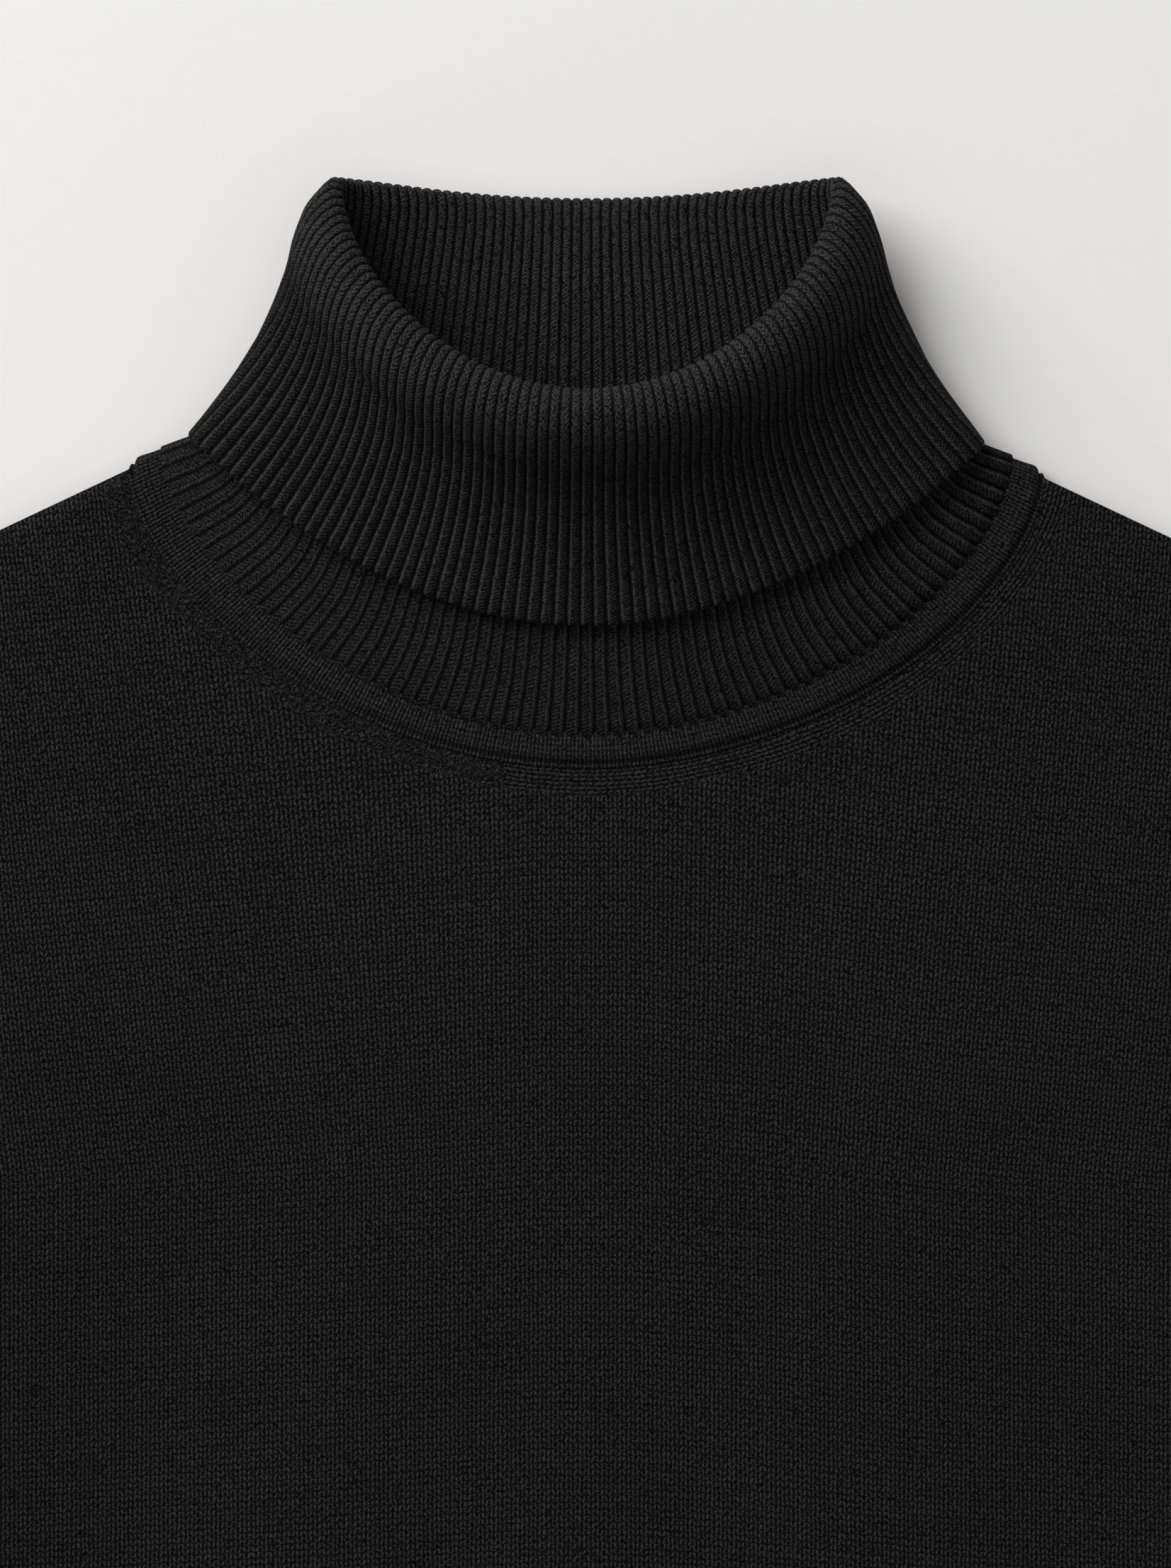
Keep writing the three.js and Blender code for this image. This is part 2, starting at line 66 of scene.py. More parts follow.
# The sleeves
SLEEVE_TOP = [SHOULDER_TIP, (330.0, -113.0), (465.0, -235.0), (672.0, -495.0)]
CUFF_INNER_CORNER = (605.5, -548.0)
CUFF_RIB_SHARE = 0.12
SLEEVE_PUFF = 2.0
SLEEVE_LAYER_GAP = 1.0
SEAM_GAP = 0.06

# The garment lies a little askew: its left shoulder has slipped down. The slip grows with x, and fades out
# towards the top of the collar and towards the waist.
LOWER_SHOULDER = 2.1
SLIP_FROM_X, SLIP_FADE_X = 30.0, 60.0
SLIP_TOP, SLIP_FADE_TOP = 48.0, 48.0
SLIP_END, SLIP_FADE_END = -420.0, 220.0

# The stitches: a wale is one column of stitches and a course is one row
BODY_WALE = 2.0
BODY_COURSE = 1.5
COURSE_DROOP = 0.1
DROOP_FROM, DROOP_END, DROOP_FADE = 10.0, -420.0, 300.0
WALE_LEAN = 0.12
LEAN_END, LEAN_FADE = -165.0, 110.0
COLLAR_RIBS = 130
COLLAR_COURSE = 0.9
BAND_COURSE = 1.2
HEM_RIBS = 144
CUFF_RIBS = 54
SLEEVE_WALES = 150
SLEEVE_LENGTH = 560.0
CUFF_LENGTH = 78.0
FAR_FROM_BAND = 30.0

# Sections of the collar, from its seam over the roll to its free edge, as the middle of the wall
COLLAR_SECTIONS = np.array([
    # side, bow, edge, frontY, frontZ, sideY, sideZ, backY, backZ, corner
    [97.0, 0.65, 0.25, -64.6, 4.7, 1.9, 3.6, -22.2, 1.8, 0.0],
    [86.0, 0.5, 0.4, -52.0, 7.6, 6.4, 4.9, -9.0, 3.6, 0.0],
    [79.6, 0.4, 0.4, -37.5, 10.2, 13.0, 6.2, 4.5, 4.4, 0.0],
    [71.9, 0.45, 0.45, -20.0, 13.4, 24.5, 7.0, 22.0, 4.6, 0.0],
    [63.6, 0.6, 0.6, -7.0, 17.6, 39.5, 9.0, 39.0, 4.7, 0.0],
    [58.6, 0.7, 0.8, 3.0, 24.6, 51.0, 12.4, 48.6, 4.7, 0.0],
    [56.8, 0.76, 0.9, 11.0, 31.6, 58.0, 15.0, 54.4, 4.3, 0.0],
    [56.4, 0.78, 0.9, 12.4, 35.0, 61.0, 16.6, 56.2, 3.9, 0.5],
    [57.8, 0.78, 0.9, 11.6, 38.0, 60.6, 18.2, 56.8, 2.7, 1.5],
    [60.8, 0.76, 0.9, 8.2, 39.6, 57.0, 18.4, 56.2, 1.5, 3.5],
    [63.2, 0.72, 0.88, 3.4, 38.0, 54.0, 16.2, 54.4, 1.1, 4.0],
    [65.5, 0.66, 0.85, -1.4, 32.6, 48.6, 13.2, 47.8, 1.0, 3.0],
    [67.4, 0.55, 0.78, -7.0, 25.8, 42.0, 10.8, 40.5, 1.0, 1.5],
    [71.3, 0.38, 0.62, -14.6, 20.2, 31.8, 8.4, 30.5, 1.0, 0.0],
    [78.8, 0.18, 0.42, -25.4, 16.0, 18.2, 6.8, 17.0, 1.0, 0.0],
    [89.6, 0.0, 0.3, -38.4, 13.5, 4.2, 5.7, 1.5, 1.0, 0.0],
])
BAND_OUTER = np.array([103.3, 0.65, 0.25, -70.3, 4.4, -1.6, 3.7, -27.6, 1.1, 0.0])
BAND_INNER = np.array([96.8, 0.65, 0.25, -63.2, 4.8, 1.4, 3.8, -21.3, 1.7, 0.0])

# Small wrinkles round the fold-over: rib from the middle of the front, place, half length in ribs,
# half width, rise
COLLAR_WRINKLES = [
    (-22, 101.5, 6.0, 1.7, -0.6), (-9, 101.0, 5.0, 1.3, -0.5), (2, 103.5, 6.0, 1.4, -0.6),
    (13, 105.0, 5.0, 1.5, -0.5), (-14, 107.5, 4.0, 1.2, -0.5), (-4, 108.5, 3.5, 1.2, -0.45),
    (7, 110.0, 5.0, 1.3, -0.5), (-17, 112.5, 3.5, 1.2, -0.4), (-8, 113.5, 4.5, 1.3, -0.4),
    (1, 115.0, 3.5, 1.2, -0.4), (20, 112.0, 5.0, 1.5, -0.4), (28, 104.0, 5.0, 1.8, -0.5),
]
WRINKLE_SLANT = 0.12

# Soft troughs and ridges: from x, from y, to x, to y, half width, height
BODY_FOLDS = [
    (-84, -110, -126, -400, 30, -2.9),
    (-140, -90, -176, -330, 26, 2.4),
    (-52, -160, -70, -420, 22, 1.6),
    (-26, -200, -34, -480, 16, -1.5),
    (-1, -170, 2, -520, 15, 1.7),
    (25, -190, 30, -470, 15, -1.3),
    (58, -150, 70, -420, 22, 1.2),
    (100, -140, 126, -350, 22, -1.7),
    (150, -120, 214, -300, 24, 1.6),
]
SLEEVE_FOLDS = [
    (262, -238, 372, -196, 20, 1.6),
    (300, -306, 420, -262, 17, -0.9),
    (420, -402, 520, -330, 18, 1.1),
]


def smooth(value):
    value = np.clip(value, 0.0, 1.0)
    return value * value * (3 - 2 * value)


def mix(a, b, share):
    return a * (1 - share) + b * share


def lengths_along(points):
    steps = np.linalg.norm(np.diff(points, axis=0), axis=1)
    return np.concatenate([[0.0], np.cumsum(steps)])


def on_line(points, shares):
    """Points at shares of the length of a line."""
    points = np.asarray(points, dtype=float)
    at = lengths_along(points)
    return np.stack([np.interp(np.asarray(shares) * at[-1], at, column) for column in points.T], axis=-1)


def flowing(values, at, wanted):
    """Values in rows at rising places, as smooth curves read at other places."""
    slopes = np.empty_like(values)
    slopes[1:-1] = (values[2:] - values[:-2]) / (at[2:] - at[:-2])[:, None]
    slopes[0] = (values[1] - values[0]) / (at[1] - at[0])
    slopes[-1] = (values[-1] - values[-2]) / (at[-1] - at[-2])
    wanted = np.clip(wanted, at[0], at[-1])
    k = np.clip(np.searchsorted(at, wanted, side="right") - 1, 0, len(at) - 2)
    span = (at[k + 1] - at[k])[:, None]
    s = (wanted - at[k])[:, None] / span
    return ((2 * s**3 - 3 * s**2 + 1) * values[k] + (s**3 - 2 * s**2 + s) * span * slopes[k]
            + (3 * s**2 - 2 * s**3) * values[k + 1] + (s**3 - s**2) * span * slopes[k + 1])


def bent_line(corners, steps=200):
    """The curve that four points pull on."""
    a, b, c, d = np.asarray(corners, dtype=float)
    s = np.linspace(0, 1, steps + 1)[:, None]
    return (1 - s)**3 * a + 3 * (1 - s)**2 * s * b + 3 * (1 - s) * s**2 * c + s**3 * d


def fold_height(folds, x, y):
    """Height that the troughs and ridges of the cloth add at plan points."""
    height = np.zeros_like(x)
    for from_x, from_y, to_x, to_y, half_width, rise in folds:
        run = np.array([to_x - from_x, to_y - from_y], dtype=float)
        share = np.clip(((x - from_x) * run[0] + (y - from_y) * run[1]) / (run @ run), 0, 1)
        away = np.hypot(x - from_x - share * run[0], y - from_y - share * run[1]) / half_width
        height += rise * np.sin(np.pi * share) * np.exp(-away * away)
    return height


# Rings round the neck

def neck_ring(section, count, passes):
    """Evenly spaced points of a ring, from the middle of the front towards the wearer's left."""
    side, bow, edge, front_y, front_z, side_y, side_z, back_y, back_z, corner = section
    angle = np.linspace(0, 2 * np.pi, 1441)
    to_front = np.cos(angle)
    away = np.abs(to_front)
    front = to_front > 0
    bows = np.where(front, bow, 0.0)
    round_turn = np.where(front, 0.0, corner * ((1 - (1 - away)**3) - away**2))
    line = np.stack([
        side * np.sin(angle),
        mix(side_y, np.where(front, front_y, back_y), bows * away + (1 - bows) * away**2) + round_turn,
        mix(side_z, np.where(front, front_z, back_z), away**edge),
    ], axis=-1)
    ring = on_line(line, np.arange(count) / count)
    for _ in range(passes):
        ring = (2 * ring + np.roll(ring, 1, axis=0) + np.roll(ring, -1, axis=0)) / 4
    return ring


def section_places():
    """How far along a rib each section of the collar lies."""
    steps = np.diff(COLLAR_SECTIONS, axis=0)
    front = np.hypot(steps[:, 3], steps[:, 4])
    side = np.sqrt(steps[:, 0]**2 + steps[:, 5]**2 + steps[:, 6]**2)
    back = np.hypot(steps[:, 7], steps[:, 8])
    return np.concatenate([[0.0], np.cumsum((front + side + back) / 3)])


PLACES = section_places()
COLLAR_LENGTH = PLACES[-1]
SMOOTHING_AT_260 = 5


def neck_rings(places, count):
    """Rings of the collar at places along a rib."""
    passes = round(SMOOTHING_AT_260 * (count / 260)**2)
    return np.stack([neck_ring(section, count, passes)
                     for section in flowing(COLLAR_SECTIONS, PLACES, np.asarray(places))])


def unit(vectors):
    return vectors / np.linalg.norm(vectors, axis=-1, keepdims=True)


# Pieces of cloth

def as_it_lies(points):
    """Plan points with the left shoulder slipped down."""
    x, y, z = points.T
    to_left = smooth((x - SLIP_FROM_X) / SLIP_FADE_X)
    between = smooth((SLIP_TOP - y) / SLIP_FADE_TOP) * smooth((y - SLIP_END) / SLIP_FADE_END)
    return np.column_stack([x, y - LOWER_SHOULDER * to_left * between, z])


def write_stitches(mesh, layer, counts, corners):
    """Puts wale and course on a mesh as a stitch map."""
    knit = np.stack([count[corners] for count in counts], axis=-1).astype(np.float32)
    (mesh.uv_layers.get(layer) or mesh.uv_layers.new(name=layer)).data.foreach_set("uv", knit.ravel())


def knitted(name, columns, rows, place, stitches, closed=False, wall=None, edging=None, turned=None):
    """A piece of cloth from a grid. place gives each point by its column and row, in millimetres of the plan.
    stitches and edging give its wale and course, and turned says which leg of a rib stands up. closed joins
    the edges of the grid that meet."""
    mesh = bpy.data.meshes.new(name)
    cloth = bmesh.new()
    cloth.loops.layers.uv.new("knit")
    bmesh.ops.create_grid(cloth, x_segments=columns, y_segments=rows, size=0.5)
    cloth.to_mesh(mesh)
    cloth.free()
    count = len(mesh.vertices)
    grid = np.empty(count * 3, dtype=np.float32)
    mesh.vertices.foreach_get("co", grid)
    grid = grid.reshape(-1, 3)
    i = np.rint((grid[:, 0] + 0.5) * columns).astype(int)
    j = np.rint((grid[:, 1] + 0.5) * rows).astype(int)
    points = place(i, j)
    placed = (as_it_lies(points) + [0.0, FRAME_SHIFT, 0.0]) * MM
    mesh.vertices.foreach_set("co", placed.astype(np.float32).ravel())
    corners = np.empty(len(mesh.loops), dtype=np.int32)
    mesh.loops.foreach_get("vertex_index", corners)
    write_stitches(mesh, "knit", stitches(i, j), corners)
    if edging:
        write_stitches(mesh, "edging", edging(i, j), corners)
    if turned:
        values = turned(i, j).astype(np.float32)
        mesh.attributes.new("turned", "FLOAT", "POINT").data.foreach_set("value", values)
    if closed:
        cloth = bmesh.new()
        cloth.from_mesh(mesh)
        bmesh.ops.remove_doubles(cloth, verts=cloth.verts, dist=1e-6)
        bmesh.ops.recalc_face_normals(cloth, faces=cloth.faces)
        cloth.to_mesh(mesh)
        cloth.free()
    mesh.polygons.foreach_set("use_smooth", np.ones(len(mesh.polygons), dtype=bool))
    piece = bpy.data.objects.new(name, mesh)
    bpy.context.scene.collection.objects.link(piece)
    if wall:
        layer = piece.modifiers.new("wall", "SOLIDIFY")
        layer.thickness = wall * MM
        layer.offset = 0
    return piece


# The collar

COLLAR_COLUMNS = RIB_STEPS * COLLAR_RIBS
FLOOR_CLEARANCE = 1.4
EDGE_REACH = 0.9
EDGE_PLACE = 0.6
EDGE_FULLNESS = 0.55


def spread_places(spacings):
    """Places along the collar from (end place, step) pairs."""
    places = [0.0]
    for end, step in spacings:
        start = places[-1]
        steps = round((end - start) / step)
        places.extend(start + (end - start) * np.arange(1, steps + 1) / steps)
    return np.array(places)


# Heights across one rib from its groove: even, and turned so that its narrow leg stands up on the left
EVEN_RIB = np.array([-1.0, 0.45, 0.95, 1.05, 0.95, 0.45])
TURNED_RIB = np.array([-1.0, 0.55, 1.05, 0.8, 0.4, -0.15])


def rib_height(step, turned):
    """step counts columns from a groove; turned is -1 for a narrow leg on the left, 1 for one on the right."""
    step = step % RIB_STEPS
    left, right = TURNED_RIB[step], TURNED_RIB[-step]
    even = EVEN_RIB[step]
    return np.where(turned < 0, mix(even, left, -turned), mix(even, right, turned))


def wide_rib(share):
    """Height across one rib of a hem or cuff, from -1 in the groove to 1 on the crest."""
    away = 2 * np.minimum(share % 1, 1 - share % 1)
    return 1 - 2 * away**2.6


def wrinkle_height(places):
    """Height that the small wrinkles add at each place and column of the collar."""
    rib = np.arange(COLLAR_COLUMNS) / RIB_STEPS
    height = np.zeros((len(places), COLLAR_COLUMNS))
    for at_rib, at_place, half_length, half_width, rise in COLLAR_WRINKLES:
        aside = (rib - at_rib + COLLAR_RIBS / 2) % COLLAR_RIBS - COLLAR_RIBS / 2
        across = (places[:, None] - at_place - WRINKLE_SLANT * aside[None, :]) / half_width
        height += rise * np.exp(-across**2 - (aside[None, :] / half_length)**2)
    return height


def collar_wall(places):
    """The middle of the wall, the way along it and the way to its inner face."""
    middle = neck_rings(places, COLLAR_COLUMNS)
    along = unit(neck_rings(places + 0.6, COLLAR_COLUMNS) - neck_rings(places - 0.6, COLLAR_COLUMNS))
    round_it = np.roll(middle, -1, axis=1) - np.roll(middle, 1, axis=1)
    inward = unit(np.cross(along, round_it))
    return middle + inward * wrinkle_height(places)[:, :, None], along, inward


def make_collar():
    """A closed wall in rib: the face that starts inside the hollow, the free edge, and the face below."""
    inside_places = spread_places([(56.0, 3.4), (99.0, 1.55), (121.0, 1.45), (COLLAR_LENGTH, 3.4)])
    outside_places = spread_places([(56.0, 3.4), (99.0, 2.4), (COLLAR_LENGTH, 4.0)])
    step = np.arange(COLLAR_COLUMNS) + RIB_STEPS // 2
    half = WALL / 2

    def ribs(middle, turns):
        off_floor = smooth(middle[:, :, 2] - FLOOR_CLEARANCE)
        return (off_floor * RIB_RELIEF * rib_height(step[None, :], turns[:, None]))[:, :, None]

    middle, along, inward = collar_wall(inside_places)
    inside_turn = -0.5 * smooth((62 - inside_places) / 12) - smooth((inside_places - 88) / 16)
    relief = ribs(middle, inside_turn)
    inside = middle + inward * (half + relief)
    last = middle[-1] + along[-1] * EDGE_REACH
    thin = half * EDGE_FULLNESS
    free_edge = [last + inward[-1] * (thin + relief[-1] * 0.8), last - inward[-1] * thin]
    middle, _, inward = collar_wall(outside_places)
    outside_turn = np.ones(len(outside_places))
    outside = middle - inward * (half + ribs(middle, outside_turn))
    rows = np.concatenate([inside, free_edge, outside[::-1], inside[:1]])
    rows[:, :, 2] = np.maximum(rows[:, :, 2], 0.0)
    row_places = np.concatenate([inside_places, [COLLAR_LENGTH + EDGE_PLACE] * 2,
                                 outside_places[::-1], inside_places[:1]])
    row_turns = np.concatenate([inside_turn, [inside_turn[-1]] * 2, outside_turn, inside_turn[:1]])

    def place(i, j):
        return rows[j, i % COLLAR_COLUMNS]

    def stitches(i, j):
        return i / RIB_STEPS + 0.5, row_places[j] / COLLAR_COURSE

    def turned(i, j):
        return row_turns[j]

    return knitted("collar_rib", COLLAR_COLUMNS, len(rows) - 1, place, stitches,
                   closed=True, turned=turned)


# The neck band and the chain of linking stitches beside it

BAND_WALES = 2 * COLLAR_RIBS
BAND_STEPS = 4


def band_surface(count):
    """The outer edge of the band, the way across to its inner edge, and the way up from it."""
    passes = round(SMOOTHING_AT_260 * (count / 260)**2)
    outer = neck_ring(BAND_OUTER, count, passes)
    inner = neck_ring(BAND_INNER, count, passes)
    inward = inner - outer
    round_it = np.roll(outer, -1, axis=0) - np.roll(outer, 1, axis=0)
    return outer, inward, unit(np.cross(round_it, inward))


# Across the band from its outer foot: share of the way in, height off the middle line, depth of its wales
BAND_FORM = np.array([
    [-0.23, -0.40, 0.0], [-0.20, 0.45, 0.0], [-0.13, 0.80, 0.0], [-0.06, 0.55, 0.0], [-0.02, 0.25, 0.0],
    [0.02, 0.75, 0.5], [0.08, 1.25, 1.0], [0.16, 1.6, 1.0], [0.28, 1.6, 1.0], [0.44, 1.45, 1.0],
    [0.62, 1.25, 1.0], [0.80, 1.15, 1.0], [0.94, 1.05, 1.0], [1.02, 0.8, 0.7], [1.05, 0.5, 0.3],
    [0.97, 0.1, 0.0], [0.90, -0.6, 0.0], [0.5, -0.9, 0.0], [0.0, -1.0, 0.0],
])
BAND_WIDTH = 7.0
LINK_ROWS = (1, 2, 3)


def make_band():
    """The half-round band with its wales, and outside it the ridge of linking stitches."""
    columns = BAND_WALES * BAND_STEPS
    outer, inward, normal = band_surface(columns)
    wale = np.arange(columns) / BAND_STEPS
    waves = 0.07 * np.cos(2 * np.pi * wale)
    links = 0.12 * np.cos(2 * np.pi * wale)
    rows = []
    for k, (share, height, depth) in enumerate(BAND_FORM):
        lift = height + depth * waves + (links if k in LINK_ROWS else 0.0)
        rows.append(outer + inward * share + normal * np.broadcast_to(lift, (columns,))[:, None])
    rows = np.stack(rows + rows[:1])
    rows[:, :, 2] = np.maximum(rows[:, :, 2], 0.0)
    across = lengths_along(BAND_FORM[:, :2] * [BAND_WIDTH, 1.0])
    across = np.append(across, across[-1])

    def place(i, j):
        return rows[j, i % columns]

    def stitches(i, j):
        return i / BAND_STEPS + 0.5, across[j] / BAND_COURSE

    return knitted("neck_band", columns, len(rows) - 1, place, stitches, closed=True)


# The body panels

NECK_GAP = {"front": 0.39, "back": 0.78}


def neck_edge(front):
    """The edge that a panel keeps beside the neck band, from the middle of the garment outwards."""
    count = 1040
    outer, inward, normal = band_surface(count)
    away = unit(-inward[:, :2])
    wall = (WALL / 2) * np.hypot(normal[:, 0], normal[:, 1])[:, None]
    gap = NECK_GAP["front" if front else "back"]
    edge = outer[:, :2] + away * (gap + wall)
    widest = int(np.argmax(edge[:, 0]))
    half = edge[:count // 2 + 1]
    line = (half[:widest + 1] if front else half[widest:][::-1]).copy()
    line[0, 0] = 0.0
    return line


def panel_side(shares):
    """The side seam of a panel up to the underarm, and its armhole above that."""
    seam_at = lengths_along(SIDE_SEAM)
    seam = flowing(np.asarray(SIDE_SEAM), seam_at, np.linspace(0, seam_at[-1], 200))
    lower = on_line(seam, np.clip(shares / SEAM_SHARE, 0, 1))
    upper = on_line(bent_line(ARMHOLE)[::-1], np.clip((shares - SEAM_SHARE) / (1 - SEAM_SHARE), 0, 1))
    return np.where((shares < SEAM_SHARE)[:, None], lower, upper)


def panel_points(q, t, neckline):
    """Plan points of a body panel: q from -1 to 1 across it, t from 0 at the hem to 1 at the shoulder."""
    across = np.abs(q)
    tip = np.array(SHOULDER_TIP)
    at_neck = on_line(neckline, np.clip(np.sin(np.pi * np.clip(across, 0, 0.5)), 0, 1))
    at_shoulder = mix(neckline[-1], tip, np.clip(2 * across - 1, 0, 1)[:, None])
    top = np.where((across <= 0.5)[:, None], at_neck, at_shoulder)
    hem = np.stack([across * HEM_HALF_WIDTH, -HEM_DROP - HEM_SAG * (1 - q * q)], axis=-1)
    corner = np.array([HEM_HALF_WIDTH, -HEM_DROP])
    low = np.array([0.0, -HEM_DROP - HEM_SAG])
    high = neckline[0]
    t2, across2 = t[:, None], across[:, None]
    between = mix(hem, top, t2) + mix(mix(low, high, t2), panel_side(t), across2)
    corners = mix(mix(low, corner, across2), mix(high, tip, across2), t2)
    points = between - corners
    points[:, 0] *= np.sign(q)
    return points


def body_puff(x, y):
    """How far the front stands off the back."""
    to_side = np.minimum(np.abs(x) / UNDERARM[0], 1)
    below_neck = smooth((PUFF_TOP - y) / PUFF_FADE)
    above_hem = smooth((y + HEM_DROP + HEM_SAG) / PUFF_FADE)
    room = (1 - to_side**6) * below_neck * above_hem
    return np.maximum(0, room * (BODY_PUFF + fold_height(BODY_FOLDS, x, y)))


def body_stitches(points):
    """Wale and course on the body, whose courses droop and wales lean beside the neck."""
    x, y = points.T
    aside = np.abs(x)
    droop = COURSE_DROOP * np.maximum(aside - DROOP_FROM, 0) * smooth((y - DROOP_END) / DROOP_FADE)
    lean = np.where(x < 0, WALE_LEAN, -0.8 * WALE_LEAN) * np.maximum(y - LEAN_END, 0)
    lean *= smooth(aside / LEAN_FADE)
    return (x + lean) / BODY_WALE, (y + droop) / BODY_COURSE


def edging_stitches(points, neckline):
    """Beside the neck band the wales follow its edge: distance from it and length along it."""
    x, y = points.T
    mirrored = np.column_stack([np.abs(x), y])
    at = lengths_along(neckline)
    away = np.full(len(x), 1e9)
    along = np.zeros(len(x))
    for corner, reach in zip(neckline[::4], at[::4]):
        gap = np.hypot(*(mirrored - corner).T)
        nearer = gap < away
        away = np.where(nearer, gap, away)
        along = np.where(nearer, reach, along)
    return np.minimum(away / BODY_WALE, FAR_FROM_BAND), along / BODY_COURSE


def panel_middle(front, x, y):
    """Height of the middle of the front's or the back's wall."""
    return WALL * 1.5 + LAYER_GAP + body_puff(x, y) if front else np.full(x.shape, WALL / 2)


def make_panel(name, front):
    columns, rows = 220, 150
    neckline = neck_edge(front)

    def flat(i, j):
        return panel_points(2 * i / columns - 1, mix(RIB_TOP, 1.0, j / rows), neckline)

    def place(i, j):
        x, y = flat(i, j).T
        return np.stack([x, y, panel_middle(front, x, y)], axis=-1)

    def stitches(i, j):
        return body_stitches(flat(i, j))

    def edging(i, j):
        return edging_stitches(flat(i, j), neckline)

    return knitted(name, columns, rows, place, stitches, wall=WALL, edging=edging)


def both_faces(shares, fullness):
    """Rows up one face of a ribbed edge and back down the other: share of its height, how full its wall
    stands there, and which face it is."""
    return np.concatenate([
        [(share, full, 1.0) for share, full in zip(shares, fullness)],
        [(share, full, -1.0) for share, full in zip(shares[::-1], fullness[::-1])],
    ]).T


def make_hem(name, front):
    """A ribbed hem, thin at its lower edge and at both side seams."""
    columns = HEM_RIBS * RIB_STEPS
    neckline = neck_edge(front)
    column = np.arange(columns + 1)
    from_seam = np.clip(np.minimum(column, column[::-1]) / (RIB_STEPS / 2), 0, 1)
    rounded = np.sqrt(1 - (1 - from_seam)**2)
    share, full, face = both_faces([0.0, 0.006, 0.2, 0.4, 0.6, 0.8, 0.94, 1.0],
                                   [0.0, 0.75, 1, 1, 1, 1, 1, 1])

    def flat(i, j):
        return panel_points(2 * i / columns - 1, share[j % len(share)] * RIB_TOP, neckline)

    def place(i, j):
        x, y = flat(i, j).T
        j = j % len(share)
        ribs = RIB_RELIEF * wide_rib(i / RIB_STEPS) * (face[j] > 0)
        offset = face[j] * full[j] * rounded[i] * (WALL / 2 + ribs)
        return np.stack([x, y, np.maximum(panel_middle(front, x, y) + offset, 0)], axis=-1)

    def stitches(i, j):
        return i / RIB_STEPS + 0.5, flat(i, j)[:, 1] / COLLAR_COURSE

    return knitted(name, columns, len(share), place, stitches, closed=True)


# The sleeves

def sleeve_points(r, t):
    """Plan points of a sleeve: r from 0 at its upper fold to 1 at its lower one, t from armhole to cuff."""
    armhole = bent_line(ARMHOLE)
    tangent = unit(np.gradient(armhole, axis=0))
    seam = armhole + SEAM_GAP * np.stack([-tangent[:, 1], tangent[:, 0]], axis=-1)
    start, end = seam[0], seam[-1]
    outer, inner = np.array(SLEEVE_TOP[-1]), np.array(CUFF_INNER_CORNER)
    r2, t2 = r[:, None], t[:, None]
    upper = on_line(bent_line(SLEEVE_TOP), t) + (start - SLEEVE_TOP[0]) * (1 - t2)
    lower = mix(end, inner, t2)
    along = mix(on_line(seam, r), mix(outer, inner, r2), t2)
    corners = mix(mix(start, end, r2), mix(outer, inner, r2), t2)
    return mix(upper, lower, r2) + along - corners


def sleeve_room(r, t):
    """Share of its fullness that a sleeve has at a point."""
    from_edges = smooth(r / 0.25) * smooth((1 - r) / 0.25)
    from_ends = smooth(t / 0.2) * smooth((1 - CUFF_RIB_SHARE - t) / 0.2)
    return from_edges * from_ends


def sleeve_width(t):
    ends = sleeve_points(np.zeros_like(t), t) - sleeve_points(np.ones_like(t), t)
    return np.linalg.norm(ends, axis=-1)


def sleeve_loop(lap, t, radius):
    """Points round a flattened sleeve: lap from 0 to 1 starts at the upper fold, runs over the top and
    back below."""
    outside = WALL + SLEEVE_LAYER_GAP / 2
    width = sleeve_width(t)
    turn = outside / width
    turning = np.pi * radius
    flat_run = width - 2 * outside
    total = 2 * (flat_run + turning)
    run = (lap % 1) * total
    on_top = run < flat_run
    first_turn = (run >= flat_run) & (run < flat_run + turning)
    below = (run >= flat_run + turning) & (run < 2 * flat_run + turning)
    share = np.where(on_top, run / flat_run, (run - flat_run - turning) / flat_run)
    angle = np.where(first_turn, (run - flat_run) / radius, (run - 2 * flat_run - turning) / radius)
    swing = radius * np.sin(angle) / width
    r = np.where(on_top, mix(turn, 1 - turn, share),
                 np.where(first_turn, 1 - turn + swing,
                          np.where(below, mix(1 - turn, turn, share), turn - swing)))
    z = np.where(on_top, radius,
                 np.where(first_turn, radius * np.cos(angle),
                          np.where(below, -radius, -radius * np.cos(angle))))
    flat = sleeve_points(r, t)
    puff = sleeve_room(r, t) * (SLEEVE_PUFF + fold_height(SLEEVE_FOLDS, *flat.T))
    lift = np.where(on_top, np.maximum(puff, 0), 0)
    return np.column_stack([flat, outside + z + lift])


SLEEVE_END = 1 - CUFF_RIB_SHARE
SLEEVE_RADIUS = WALL / 2 + SLEEVE_LAYER_GAP / 2


def make_sleeve(name, side):
    columns, rows = 150, 150

    def place(i, j):
        return sleeve_loop(i / columns, SLEEVE_END * j / rows, SLEEVE_RADIUS) * [side, 1, 1]

    def stitches(i, j):
        return SLEEVE_WALES * i / columns, -SLEEVE_LENGTH * j / rows / BODY_COURSE

    def edging(i, j):
        return np.full(i.shape, FAR_FROM_BAND), j.astype(float)

    return knitted(name, columns, rows, place, stitches, closed=True, wall=WALL, edging=edging)


